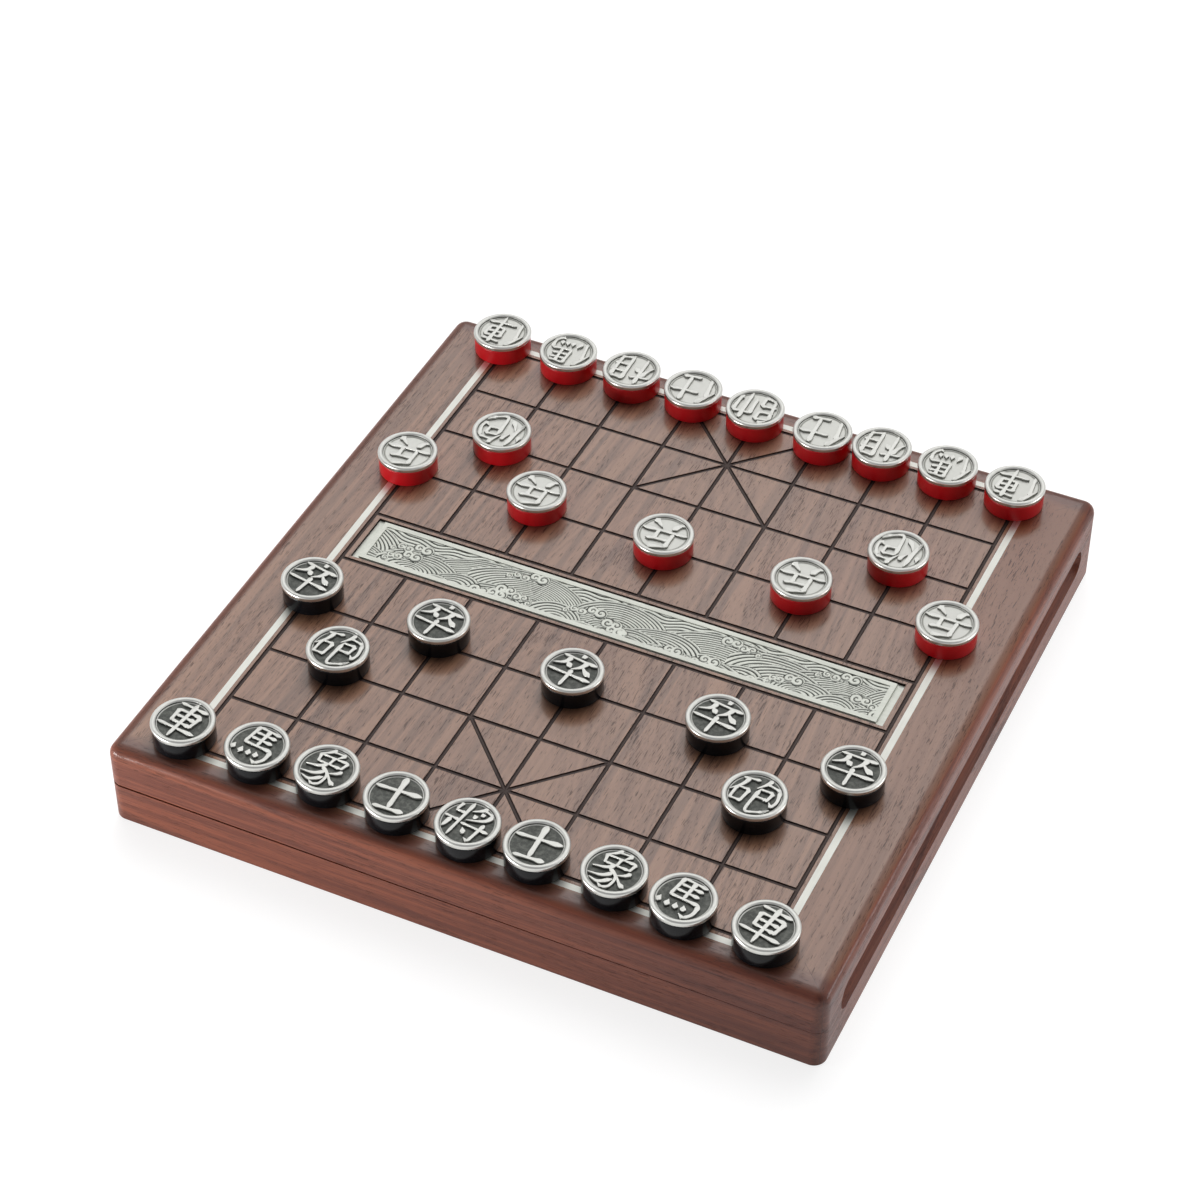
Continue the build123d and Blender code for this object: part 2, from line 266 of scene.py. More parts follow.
def walnut_figure(place, along):
    """The parts of walnut's figure: its rings, streaks, fibres, dark lanes and open pores."""
    def drawn(share):
        """A stretch that draws noise out along the grain."""
        return [share if axis == along else 1.0 for axis in range(3)]

    x, y, z = place.axes()
    across, length = (y, x) if along == 0 else (x, y)
    sway = place.noise(9, drawn(0.25), detail=2, shift=(3, 7, 1)) - 0.5
    lean = place.noise(5, drawn(0.25), detail=1, shift=(6, 2, 5)) - 0.5
    beside = across + RING_SWAY * sway
    above = z + HEART_BELOW + HEART_SLOPE * length + RING_LEAN * lean
    radius = (beside * beside + above * above).root()
    rings = radius.band(330, detail=4, rough=0.65)
    broad = radius.band(70, detail=2, rough=0.5)
    streak = place.noise(420, drawn(0.02), detail=4, rough=0.65, shift=(5, 5, 1))
    fine = place.noise(2200, drawn(0.02), detail=3, rough=0.7)
    lanes = place.noise(160, drawn(0.008), detail=3, rough=0.55, shift=(2, 2, 2))
    dashes = place.noise(2900, drawn(0.13), detail=1, rough=0.4, shift=(1, 4, 9))
    slits = place.noise(2300, drawn(0.08), detail=1, rough=0.4, shift=(7, 3, 2))
    cloud = place.noise(34, detail=3, shift=(9, 1, 4))
    open_grain = rings.step(0.40, 0.62) + cloud.step(0.35, 0.65)
    short_pits = (dashes + 0.055 * open_grain).step(0.68, 0.78) * 0.65
    long_pits = (slits + 0.060 * open_grain).step(0.69, 0.75) * 0.85
    return SimpleNamespace(
        sway=sway, rings=rings, broad=broad, streak=streak, fine=fine, lanes=lanes,
        pits=short_pits.larger(long_pits),
    )


def face_colour(grain, x, y):
    """Brown with darker lanes, greyer with painted sheen and warmer towards the far right."""
    tone = 0.46 * grain.rings + 0.32 * grain.streak + 0.22 * grain.fine
    colour = (tone.step(0.36, 0.64) * 0.80).mix(WOOD_PALE, WOOD_DEEP)
    bands = grain.broad.step(0.55, 0.75) * grain.streak.step(0.40, 0.60)
    colour = (bands * 0.4).mix(colour, WOOD_DARK)
    colour = (grain.lanes.step(0.54, 0.66) * 0.40).mix(colour, WOOD_DARK)
    far_right = x + y
    # Painted sheen: a grey mixed in everywhere, more of it towards the far right.
    colour = (0.14 + 0.16 * far_right.step(-100 * MM, 260 * MM)).mix(colour, WOOD_SHEEN_GREY)
    right_rail = x.step(STRIP_X - 0.3 * MM, STRIP_X + 0.7 * MM)
    warm = right_rail * (0.36 + 0.30 * y.step(0, 140 * MM)) + 0.32 * far_right.step(50 * MM, 280 * MM)
    return warm.mix(colour, WOOD_WARM)


def flank_colour(grain, x, y):
    """Redder than the faces, with straight lines, and painted shade that darkens the front towards the
    right.
    """
    lines = (0.7 * grain.streak + 0.3 * grain.fine).step(0.36, 0.60)
    colour = (lines * 0.8).mix(FLANK_PALE, FLANK_DEEP)
    colour = (grain.rings.step(0.50, 0.70) * 0.50).mix(colour, FLANK_GRAIN_AND_SHADE)
    # Painted shade: the front grows darker towards the right.
    front = 1 - y.step(-150 * MM, -120 * MM)
    return (x.step(-60 * MM, 170 * MM) * front * 0.45).mix(colour, FLANK_GRAIN_AND_SHADE)


def line_middle(x, y):
    """1 along the middle of every scored line of the board, 0 at its sides."""
    palace_middle = 3.5 * RANK_PITCH
    to_file = abs(x).folded(FILE_PITCH / 2)
    to_rank = (abs(y) + RANK_PITCH / 2).folded(RANK_PITCH / 2)
    from_palace = abs(abs(y) - palace_middle)
    diagonal = abs(abs(x) * (1 / FILE_PITCH) - from_palace * (1 / RANK_PITCH))
    beyond_x = abs(x).step(FILE_PITCH - 0.10 * MM, FILE_PITCH + 0.20 * MM)
    beyond_y = from_palace.step(RANK_PITCH - 0.15 * MM, RANK_PITCH + 0.15 * MM)
    outside_palace = 1 - (1 - beyond_x) * (1 - beyond_y)
    to_diagonal = diagonal * (FILE_PITCH / 2 ** 0.5) + outside_palace
    nearest = to_file.smaller(to_rank).smaller(to_diagonal)
    return 1 - nearest.step(*LINE_FADE)


def satin(shader, grain, colour, cut, gloss):
    """Satin lacquer over open pores. Cut is the share of bare wood and gloss that of the coat."""
    rough = 0.38 + 0.12 * grain.streak + 0.2 * grain.pits + 0.3 * cut
    height = 1 - grain.pits * 0.8 - 0.2 * grain.fine
    feed(shader, Base_Color=colour, Roughness=rough, Normal=bump(height, 0.10 * MM, 0.6))
    feed(shader, Specular_IOR_Level=0.25, Coat_Weight=(1 - 0.5 * grain.pits) * gloss)
    feed(shader, Coat_Roughness=0.14, Coat_IOR=1.75)


def wood_outside(name, along):
    """Walnut of the case and the board. Along is the axis of the grain, 0 for X and 1 for Y."""
    made, shader, place = material(name)
    x, y, z = place.axes()
    grain = walnut_figure(place, along)
    colour = face_colour(grain, x, y)
    to_side = HALF_WIDTH - abs(x)
    to_end = HALF_DEPTH - abs(y)

    # Painted shade: a darker rim along the front and back edges and the left edge.
    end_shade = 1 - (to_end + 4 * MM * grain.sway).step(*END_SHADE_SPAN)
    side_shade = 1 - (to_side + 2 * MM * grain.sway).step(*SIDE_SHADE_SPAN)
    left_shade = side_shade * (1 - x.step(-100 * MM, 100 * MM))
    colour = (end_shade.larger(left_shade) * 0.85).mix(colour, EDGE_SHADE_BROWN)

    flank = 1 - z.step(*FLANK_TOP)
    colour = flank.mix(colour, flank_colour(grain, x, y))

    to_edge = to_side.smaller(to_end)
    roll = (1 - to_edge.step(*ROLL_BACK)) * z.step(*ROLL_FOOT)
    # Painted shade on the rolled edge.
    colour = (roll * 0.25).mix(colour, ROLL_SHADE)
    # Painted highlight: a thin broken line where the roll meets the face.
    arris = 1 - abs(to_edge - ARRIS).step(*ARRIS_FADE)
    arris = arris * (1 - end_shade) * grain.streak.step(0.3, 0.6)
    colour = (arris * 0.55).mix(colour, ARRIS_HIGHLIGHT)
    colour = (grain.pits * (0.72 - 0.24 * flank)).mix(colour, PORE)

    inside_x = 1 - abs(x).step(WALL_X - 1.1 * MM, WALL_X - 0.4 * MM)
    inside_y = 1 - abs(y).step(WALL_Y - 1.4 * MM, WALL_Y - 0.7 * MM)
    inside_walls = inside_x * inside_y
    cut = (1 - z.step(*SUNK_TOP)) * z.step(*SUNK_FOOT) * inside_walls
    # The scored lines are dark paint, which also stands for the shade at their sides, with a painted
    # reflection along their middle.
    pale_and_highlight = line_middle(x, y) * (1 - z.step(*LINE_BOTTOM))
    colour = (cut * 0.95).mix(colour, (pale_and_highlight * 0.42).mix(SCORED, SCORED_SHEEN))

    mitre = 1 - abs(to_side - to_end).step(*MITRE_FADE)
    colour = (mitre * (1 - inside_walls) * 0.5).mix(colour, GLUE_LINE)
    satin(shader, grain, colour, cut, (1 - cut) * (1 - 0.85 * flank.larger(roll)))
    return made


def wood_inside(name):
    """Walnut of the wells, hardly polished, its grain along X."""
    made, shader, place = material(name)
    x, y = place.axes()[:2]
    grain = walnut_figure(place, 0)
    colour = face_colour(grain, x, y)
    colour = (grain.pits * 0.60).mix(colour, PORE_INSIDE)
    colour = (grain.fine.step(0.2, 0.9) * 0.5).mix(colour, FLANK_PALE)
    satin(shader, grain, colour, cut=0.0, gloss=0.25)
    return made


# ---------------------------------------------------------------- metals, lacquers and felt

def brushed_pewter(name, along, bright, dull, roughness, wear):
    """Brushed pewter. Along is the axis of the brushing."""
    made, shader, place = material(name)
    stretch = [0.03 if axis == along else 1.0 for axis in range(3)]
    lines = place.noise(2600, stretch, detail=3, rough=0.6)
    cloud = place.noise(120, detail=3, shift=(2, 6, 4))
    colour = (cloud.step(0.3, 0.75) * wear + 0.35 * lines.step(0.3, 0.7)).mix(bright, dull)
    feed(shader, Base_Color=colour, Metallic=1.0, Roughness=roughness + 0.14 * lines)
    feed(shader, Normal=bump(lines + 0.4 * cloud, 0.03 * MM, 0.5))
    return made


def cap_pewter(name, shade_and_patina_colour, mottle):
    """Polished cast pewter, with the patina and painted shade that its pieces carry as an attribute.
    """
    made, shader, place = material(name)
    patina_and_shade = place.attribute("patina_and_shade")
    grain = place.noise(2200, detail=3, rough=0.65)
    cloud = place.noise(520, detail=3, shift=(4, 4, 1))
    bright = (cloud.step(0.3, 0.7) * 0.2).mix(srgb(212, 212, 207), srgb(196, 196, 191))
    shade_and_patina_tone = (cloud.step(0.40, 0.66) * mottle).mix(shade_and_patina_colour, srgb(142, 143, 136))
    share = patina_and_shade * (0.92 + 0.16 * (grain - 0.5))
    ground = patina_and_shade.step(0.05, 0.2)
    rough = 0.29 + 0.04 * cloud + (0.14 + 0.04 * grain) * ground
    feed(shader, Base_Color=share.mix(bright, shade_and_patina_tone), Metallic=1.0, Roughness=rough)
    feed(shader, Normal=bump((grain + cloud) * ground, 0.06 * MM, 0.7))
    return made


def wave_pewter(name):
    """Cast pewter, dark in the hollows between the waves."""
    made, shader, place = material(name)
    hollow = place.attribute("patina_and_shade").step(0.14, 0.70)
    grain = place.noise(1800, detail=3)
    cloud = place.noise(180, detail=3, shift=(2, 6, 4))
    bright = (cloud.step(0.3, 0.7) * 0.3).mix(srgb(206, 208, 200), srgb(184, 187, 179))
    colour = hollow.mix(bright, srgb(68, 71, 66))
    feed(shader, Base_Color=colour, Metallic=1.0, Roughness=0.42 + 0.1 * grain)
    feed(shader, Normal=bump(grain, 0.02 * MM, 0.3))
    return made


def brass(name, bright, dull):
    """Stamped brass, a little tarnished."""
    made, shader, place = material(name)
    lines = place.noise(1800, (1, 0.05, 1), detail=3)
    tarnish = place.noise(150, detail=4, rough=0.6, shift=(2, 2, 7))
    colour = (tarnish.step(0.30, 0.80) * 0.35 + 0.25 * lines).mix(bright, dull)
    rough = 0.28 + 0.12 * lines + 0.12 * tarnish.step(0.35, 0.75)
    feed(shader, Base_Color=colour, Metallic=1.0, Roughness=rough)
    feed(shader, Normal=bump(lines, 0.03 * MM, 0.4))
    return made


def lacquer(name, colour, pale_and_highlight, roughness, shine):
    """Sprayed lacquer with a faint orange peel, and a painted highlight just under the cap."""
    made, shader, place = material(name)
    z = place.axes()[2]
    peel = place.noise(900, detail=2)
    cloud = place.noise(160, detail=3, shift=(6, 1, 3))
    under_cap = TOP + CAP_UNDER
    # Painted highlight: a paler band just under the cap; the cloudy patches are the lacquer's own
    # paler tone.
    edge = z.step(under_cap - 0.9 * MM, under_cap - 0.1 * MM)
    shade = (cloud.step(0.3, 0.75) * 0.35 + 0.3 * edge).mix(colour, pale_and_highlight)
    feed(shader, Base_Color=shade, Roughness=roughness + 0.10 * cloud)
    feed(shader, Normal=bump(peel, 0.01 * MM, 0.2), Specular_IOR_Level=shine)
    return made


def felt(name, colour, light, shadow):
    """Glued-in felt with a short nap."""
    made, shader, place = material(name)
    nap = place.noise(2200, detail=4, rough=0.7, warp=0.8)
    hairs = place.noise(900, (1, 0.2, 1), detail=3, rough=0.7, shift=(3, 1, 1), warp=1.5)
    cloud = place.noise(45, detail=3, shift=(1, 9, 2))
    shade = (0.5 * nap.step(0.3, 0.7) + 0.3 * hairs.step(0.5, 0.7)).mix(colour, light)
    shade = (cloud.step(0.35, 0.7) * 0.3).mix(shade, shadow)
    feed(shader, Base_Color=shade, Roughness=0.95, Normal=bump(nap + hairs, 0.3 * MM, 0.8))
    feed(shader, Sheen_Weight=0.35, Sheen_Roughness=0.4)
    return made


STRIP_TONES = (srgb(214, 214, 207), srgb(194, 194, 188))
PLATE_TONES = (srgb(206, 208, 200), srgb(186, 188, 180))

wood_x = wood_outside("walnut_along_x", 0)
wood_y = wood_outside("walnut_along_y", 1)
wood_floor = wood_inside("walnut_floor")
strip_x = brushed_pewter("pewter_strip_x", 0, *STRIP_TONES, 0.32, 0.3)
strip_y = brushed_pewter("pewter_strip_y", 1, *STRIP_TONES, 0.32, 0.3)
plate_pewter = brushed_pewter("pewter_plate", 0, *PLATE_TONES, 0.42, 0.4)
wave_finish = wave_pewter("pewter_waves")
cap_black = cap_pewter("pewter_dark_ground", srgb(50, 53, 50), 0.22)
cap_red = cap_pewter("pewter_pale_ground", srgb(70, 72, 60), 0.10)
black_lacquer = lacquer("black_lacquer", srgb(13, 14, 17), srgb(20, 21, 25), 0.14, 0.22)
red_lacquer = lacquer("red_lacquer", srgb(206, 14, 26), srgb(214, 28, 37), 0.28, 0.4)
dark_felt = felt("well_felt", srgb(52, 44, 46), srgb(92, 80, 82), srgb(22, 20, 22))
hinge_brass = brass("hinge_brass", srgb(200, 164, 104), srgb(140, 104, 60))
screw_brass = brass("screw_brass", srgb(150, 116, 70), srgb(92, 66, 38))


def dress(finish, *names):
    """Gives CAD nodes their finish."""
    for name in names:
        slots = nodes[name].data.materials
        slots.clear()
        slots.append(finish)


dress(wood_x, "lid_front", "lid_back", "base_front", "base_back")
dress(wood_y, "lid_left", "lid_right", "base_left", "base_right", "board_panel")
dress(wood_floor, "floor_panel", "partition")
dress(strip_x, "inlay_front", "inlay_back")
dress(strip_y, "inlay_left", "inlay_right")
dress(plate_pewter, "river_plate")
dress(dark_felt, "lid_lining", "base_lining_front", "base_lining_back")
for end in ("front", "back"):
    dress(hinge_brass, f"hinge_{end}_lid_leaf", f"hinge_{end}_base_leaf", f"hinge_{end}_pin")


# ---------------------------------------------------------------- mesh helpers

def as_mesh(name, bm):
    """Turns a bmesh into a mesh."""
    mesh = bpy.data.meshes.new(name)
    bm.to_mesh(mesh)
    bm.free()
    return mesh


def finish_piece(name, bm, finish, body, sharp=35):
    """Turns a bmesh into a smooth-shaded piece that rides a body."""
    bmesh.ops.recalc_face_normals(bm, faces=bm.faces)
    for face in bm.faces:
        face.smooth = True
    for edge in bm.edges:
        if len(edge.link_faces) == 2:
            edge.smooth = edge.calc_face_angle(0) < radians(sharp)
    mesh = as_mesh(name, bm)
    mesh.materials.append(finish)
    piece = bpy.data.objects.new(name, mesh)
    bpy.context.scene.collection.objects.link(piece)
    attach(piece, body)
    return piece


def arc(centre_r, centre_z, radius, start, end, count):
    """Points of an arc in a turned profile, with its angles in degrees."""
    angles = [radians(start + (end - start) * i / count) for i in range(count + 1)]
    return [(centre_r + radius * cos(a), centre_z + radius * sin(a)) for a in angles]


def spun(profile, steps):
    """A closed shape turned about Z from (radius, height) points."""
    bm = bmesh.new()
    points = [bm.verts.new((radius, 0, height)) for radius, height in profile]
    edges = [bm.edges.new(pair) for pair in zip(points, points[1:])]
    bmesh.ops.spin(
        bm, geom=points + edges, cent=(0, 0, 0), axis=(0, 0, 1), angle=2 * pi,
        steps=steps, use_merge=True,
    )
    bmesh.ops.remove_doubles(bm, verts=bm.verts, dist=0.001 * MM)
    return bm


def raise_outline(bm, outline, height, rounding):
    """A closed plate on a flat outline, with its upper edge rounded off."""
    foot = bm.faces.new(outline)
    grown = bmesh.ops.extrude_face_region(bm, geom=[foot])["geom"]
    top = [item for item in grown if isinstance(item, bmesh.types.BMVert)]
    rim = [item for item in grown if isinstance(item, bmesh.types.BMEdge)]
    bmesh.ops.translate(bm, verts=top, vec=(0, 0, height))
    bmesh.ops.bevel(
        bm, geom=rim, offset=rounding, offset_type="OFFSET", segments=2,
        profile=0.5, affect="EDGES", clamp_overlap=True, material=-1,
    )


# ---------------------------------------------------------------- brush strokes of the signs

# Width of each kind of stroke, at shares of its length and as a share of its usual width:
# heng runs across, shu down, pie down to the left and na down to the right.
TAPERS = {
    "heng": [(0, 0.34), (0.10, 1.00), (0.32, 0.74), (0.62, 0.76), (0.88, 1.36), (1, 0.36)],
    "shu": [(0, 0.40), (0.10, 1.42), (0.30, 1.02), (0.70, 0.92), (0.88, 1.04), (1, 0.34)],
    "pie": [(0, 0.40), (0.14, 1.50), (0.45, 1.15), (0.80, 0.64), (1, 0.30)],
    "na": [(0, 0.30), (0.35, 0.85), (0.76, 1.66), (1, 0.30)],
    "dot": [(0, 0.30), (0.65, 1.62), (1, 0.50)],
    "hook": [(0, 1.20), (1, 0.30)],
}


def taper(kind, share):
    """Width of a stroke along its length, swelling and thinning as a brush does."""
    stops = TAPERS[kind]
    for (low, first), (high, second) in zip(stops, stops[1:]):
        if share <= high:
            ease = 0.5 - 0.5 * cos(pi * (share - low) / (high - low))
            return first + (second - first) * ease
    return stops[-1][1]


def smooth_line(points, runs):
    """A smooth line through two to four points, as evenly spaced points."""
    ends = [2 * points[0] - points[1], *points, 2 * points[-1] - points[-2]]
    line = []
    for i in range(1, len(ends) - 2):
        before, first, second, after = ends[i - 1:i + 3]
        for k in range(runs):
            t = k / runs
            bend = (2 * before - 5 * first + 4 * second - after) * t * t
            twist = (3 * first - before - 3 * second + after) * t ** 3
            line.append(0.5 * (2 * first + (second - before) * t + bend + twist))
    line.append(points[-1])
    return line


def stroke(bm, kind, points, width, low, high):
    """One brush stroke as a closed solid with a rounded upper edge."""
    runs = 14 if len(points) == 2 else 8
    line = smooth_line([Vector(point) for point in points], runs)
    last = len(line) - 1
    left, right = [], []
    for i, point in enumerate(line):
        along = (line[min(i + 1, last)] - line[max(i - 1, 0)]).normalized()
        across = Vector((-along.y, along.x)) * width / 2 * taper(kind, i / last)
        left.append(point + across)
        right.append(point - across)
    outline = [bm.verts.new((x, y, low)) for x, y in left + right[::-1]]
    raise_outline(bm, outline, high - low, width * 0.12)


def squeezed(strokes, left, right, low=0, high=100):
    """The same strokes in a narrower or lower part of the square."""
    across = (right - left) / 100
    up = (high - low) / 100
    moved = []
    for kind, *line in strokes:
        moved.append((kind, *[(left + x * across, low + y * up) for x, y in line]))
    return moved


# Each sign is drawn in a square of 100 by 100, from its lower left corner.
CART = [
    ("heng", (18, 86), (82, 89)), ("shu", (27, 72), (30, 38)), ("heng", (25, 70), (76, 73)),
    ("shu", (75, 73), (71, 38)), ("heng", (30, 56), (72, 58)), ("heng", (30, 41), (72, 42)),
    ("heng", (4, 22), (97, 26)), ("shu", (50, 99), (50, 0)),
]
HORSE = [
    ("shu", (28, 92), (25, 44)), ("heng", (28, 90), (78, 93)), ("heng", (29, 76), (74, 78)),
    ("heng", (28, 62), (74, 64)), ("shu", (51, 91), (51, 47)), ("heng", (24, 46), (84, 49)),
    ("shu", (83, 49), (84, 26), (76, 6)), ("hook", (77, 6), (62, 15)), ("dot", (14, 34), (8, 14)),
    ("dot", (31, 33), (33, 18)), ("dot", (46, 34), (50, 20)), ("dot", (61, 35), (66, 22)),
]
ELEPHANT = [
    ("pie", (43, 99), (34, 86), (18, 75)), ("heng", (38, 90), (66, 92)), ("pie", (65, 92), (54, 79)),
    ("shu", (22, 76), (26, 57)), ("heng", (22, 76), (80, 78)), ("shu", (79, 78), (74, 58)),
    ("heng", (26, 59), (74, 60)), ("shu", (50, 77), (49, 60)), ("pie", (48, 58), (34, 48), (10, 42)),
    ("shu", (40, 50), (60, 36), (60, 12), (48, 1)), ("hook", (49, 2), (38, 9)),
    ("pie", (53, 41), (36, 28), (8, 22)), ("pie", (58, 28), (38, 12), (8, 4)),
    ("pie", (82, 55), (74, 46), (60, 39)), ("na", (58, 42), (74, 24), (96, 10)),
]
SCHOLAR = [
    ("heng", (3, 60), (97, 64)), ("shu", (50, 98), (50, 14)), ("heng", (20, 12), (82, 15)),
]
GENERAL = [
    ("shu", (34, 98), (33, 0)), ("shu", (14, 88), (15, 66)), ("heng", (14, 64), (33, 66)),
    ("heng", (4, 44), (34, 46)), ("pie", (19, 44), (17, 24), (4, 6)),
    ("pie", (64, 99), (56, 86), (42, 75)), ("heng", (58, 90), (86, 92)),
    ("pie", (86, 91), (74, 68), (44, 52)), ("dot", (60, 82), (67, 75)), ("dot", (50, 71), (58, 64)),
    ("heng", (40, 42), (98, 46)), ("shu", (80, 60), (80, 6)), ("hook", (80, 6), (66, 15)),
    ("dot", (50, 34), (60, 22)),
]
WRAP = [
    ("pie", (30, 100), (20, 82), (0, 64)), ("heng", (22, 84), (90, 88)),
    ("shu", (89, 88), (88, 54), (82, 36)), ("hook", (83, 37), (66, 46)),
    ("heng", (12, 66), (60, 69)), ("shu", (60, 69), (56, 44)), ("heng", (14, 46), (56, 48)),
    ("shu", (13, 66), (12, 30), (16, 8), (34, 4)), ("heng", (28, 5), (96, 8)),
    ("hook", (95, 6), (97, 26)),
]
STONE = [
    ("heng", (4, 84), (96, 88)), ("pie", (50, 85), (38, 60), (0, 36)), ("shu", (26, 52), (28, 14)),
    ("heng", (26, 52), (84, 55)), ("shu", (83, 55), (78, 16)), ("heng", (28, 18), (80, 20)),
]
FIRE = [
    ("dot", (10, 72), (22, 52)), ("pie", (90, 76), (80, 64), (66, 54)),
    ("pie", (48, 96), (46, 50), (30, 18), (0, 4)), ("na", (50, 44), (68, 26), (94, 10)),
]
SOLDIER_BLACK = [
    ("dot", (46, 100), (54, 88)), ("heng", (10, 82), (92, 86)), ("pie", (32, 80), (26, 62), (6, 50)),
    ("dot", (28, 66), (44, 54)), ("pie", (66, 82), (60, 64), (46, 50)),
    ("na", (62, 68), (72, 58), (88, 50)), ("heng", (2, 34), (98, 38)), ("shu", (50, 50), (50, 0)),
]
MAN = [("pie", (80, 100), (56, 72), (0, 48)), ("shu", (48, 68), (48, 0))]
TREE = [
    ("heng", (0, 68), (98, 72)), ("shu", (52, 100), (52, 0)), ("pie", (50, 68), (36, 44), (0, 26)),
    ("dot", (60, 56), (92, 40)),
]
EYE = [
    ("shu", (12, 92), (14, 4)), ("heng", (10, 90), (88, 93)), ("shu", (87, 93), (86, 4)),
    ("heng", (14, 64), (86, 66)), ("heng", (14, 38), (86, 40)), ("heng", (14, 10), (86, 12)),
]
SOLDIER_RED = [
    ("pie", (70, 100), (54, 91), (30, 86)), ("shu", (33, 87), (31, 44)), ("heng", (33, 67), (80, 71)),
    ("shu", (63, 69), (62, 44)), ("heng", (-6, 39), (106, 44)), ("pie", (38, 33), (28, 16), (8, 2)),
    ("na", (60, 33), (74, 20), (92, 2)),
]
HEAP = [
    ("pie", (56, 100), (44, 90), (26, 82)), ("shu", (12, 80), (12, 6)), ("heng", (12, 80), (86, 83)),
    ("shu", (85, 83), (80, 56)), ("heng", (14, 56), (82, 58)), ("heng", (14, 36), (88, 39)),
    ("shu", (87, 39), (84, 8)), ("heng", (14, 9), (86, 11)),
]
CLOTH = [
    ("shu", (10, 72), (12, 20)), ("heng", (10, 70), (92, 74)), ("shu", (91, 74), (88, 20)),
    ("hook", (89, 20), (70, 30)), ("shu", (50, 98), (50, 0)),
]

# The signs by their spoken names. The red side writes some of them with more strokes.
SIGNS = {
    "che": CART,
    "ma": HORSE,
    "xiang": ELEPHANT,
    "shi": SCHOLAR,
    "jiang": GENERAL,
    "pao": squeezed(STONE, 2, 44, 4, 96) + squeezed(WRAP, 46, 100),
    "zu": SOLDIER_BLACK,
    "che_red": squeezed(MAN, 0, 26) + squeezed(CART, 28, 100),
    "ma_red": squeezed(MAN, 0, 26) + squeezed(HORSE, 26, 100),
    "xiang_red": squeezed(TREE, 0, 48) + squeezed(EYE, 54, 98, 2, 94),
    "shi_red": squeezed(MAN, 0, 32) + squeezed(SCHOLAR, 32, 100),
    "shuai": squeezed(HEAP, 2, 46) + squeezed(CLOTH, 50, 98),
    "pao_red": squeezed(FIRE, 0, 46) + squeezed(WRAP, 46, 100),
    "bing": SOLDIER_RED,
}
# Width of each sign's strokes, as a share of STROKE_WIDTH.
WEIGHTS = {
    "che": 1.02, "ma": 0.95, "xiang": 0.76, "shi": 1.35, "jiang": 0.84, "pao": 0.82, "zu": 0.98,
    "che_red": 0.95, "ma_red": 0.85, "xiang_red": 1.0, "shi_red": 1.2, "shuai": 1.0,
    "pao_red": 0.85, "bing": 1.15,
}
# Which sign each kind of piece carries.
BLACK = {
    "chariot": "che", "horse": "ma", "elephant": "xiang", "advisor": "shi",
    "general": "jiang", "cannon": "pao", "soldier": "zu",
}
RED = {
    "chariot": "che_red", "horse": "ma_red", "elephant": "xiang_red", "advisor": "shi_red",
    "general": "shuai", "cannon": "pao_red", "soldier": "bing",
}
# Degrees that a piece stands turned from straight.
TURNS = {
    "black_chariot_left": -9, "black_chariot_right": -12, "black_horse_left": -9,
    "black_horse_right": -10, "black_elephant_left": -6, "black_elephant_right": -5,
    "black_general": -10, "black_cannon_left": -8, "black_cannon_right": -9,
    "black_soldier_1": -12, "black_soldier_2": -10, "black_soldier_3": -8,
    "black_soldier_4": -9, "black_soldier_5": -3, "red_chariot_left": -3,
    "red_chariot_right": -4, "red_soldier_5": -3,
}


# ---------------------------------------------------------------- game pieces

def piece_body():
    """The lacquered body, up to the narrow gap under its cap."""
    radius = PIECE_RADIUS - 0.35 * MM
    neck = radius - 0.4 * MM
    fillet = 0.6 * MM
    shoulder = CAP_UNDER - 0.15 * MM
    head = CAP_UNDER + 0.05 * MM
    profile = [(0, FOOT_GAP)]
    profile += arc(radius - fillet, FOOT_GAP + fillet, fillet, -90, 0, 4)
    profile += [(radius, CAP_UNDER / 2)]
    profile += arc(radius - fillet, shoulder - fillet, fillet, 0, 60, 3)
    profile += [(neck, head), (0, head)]
    return spun(profile, 72)


def piece_cap():
    """The cast cap: a round rim, a groove, a thin inner step and a sunk ground."""
    crown = PIECE_HEIGHT - RIM
    under = CAP_UNDER + 0.10 * MM
    profile = [(0, under), (PIECE_RADIUS - 0.50 * MM, under)]
    profile += [(PIECE_RADIUS - 0.12 * MM, under + 0.15 * MM)]
    profile += arc(PIECE_RADIUS - RIM, crown, RIM, 0, 165, 18)
    profile += [(RIM_INSIDE + 0.02 * MM, crown - 0.10 * MM)]
    profile += [(RIM_INSIDE - 0.10 * MM, crown + 0.05 * MM)]
    profile += [(RIM_INSIDE - 0.38 * MM, crown + 0.05 * MM)]
    profile += [(RIM_INSIDE - 0.50 * MM, crown - 0.05 * MM)]
    profile += [(GROUND_RADIUS, CAP_GROUND), (GROUND_RADIUS - 0.7 * MM, CAP_GROUND)]
    profile += [(0, CAP_GROUND)]
    return spun(profile, 144)


def shade_and_patina_marks(bm, ground, deep):
    """Marks how dark the patina and painted shade are at each point: deepest at the foot of every
    wall.
    """
    hair = 0.02 * MM
    layer = bm.verts.layers.float.new("patina_and_shade")
    for point in bm.verts:
        x, y, z = point.co
        radius = hypot(x, y)
        foot_of_stroke = z < CAP_GROUND - 0.05 * MM
        foot_of_step = radius > GROUND_RADIUS - 0.05 * MM and z < CAP_GROUND + hair
        groove = abs(radius - RIM_INSIDE) < 0.06 * MM
        if radius > RIM_INSIDE + 0.3 * MM:
            point[layer] = 0.0
        # Painted shade on top of the patina, at the foot of every wall and in the groove.
        elif foot_of_stroke or foot_of_step or groove:
            point[layer] = deep
        elif z < CAP_GROUND + hair:
            point[layer] = ground
        elif radius > RIM_INSIDE - 0.55 * MM:
            point[layer] = 0.25 * deep
        # Painted shade on the sides of the strokes.
        elif z < CAP_SIGN - hair:
            point[layer] = 0.30 * deep
        else:
            point[layer] = 0.0


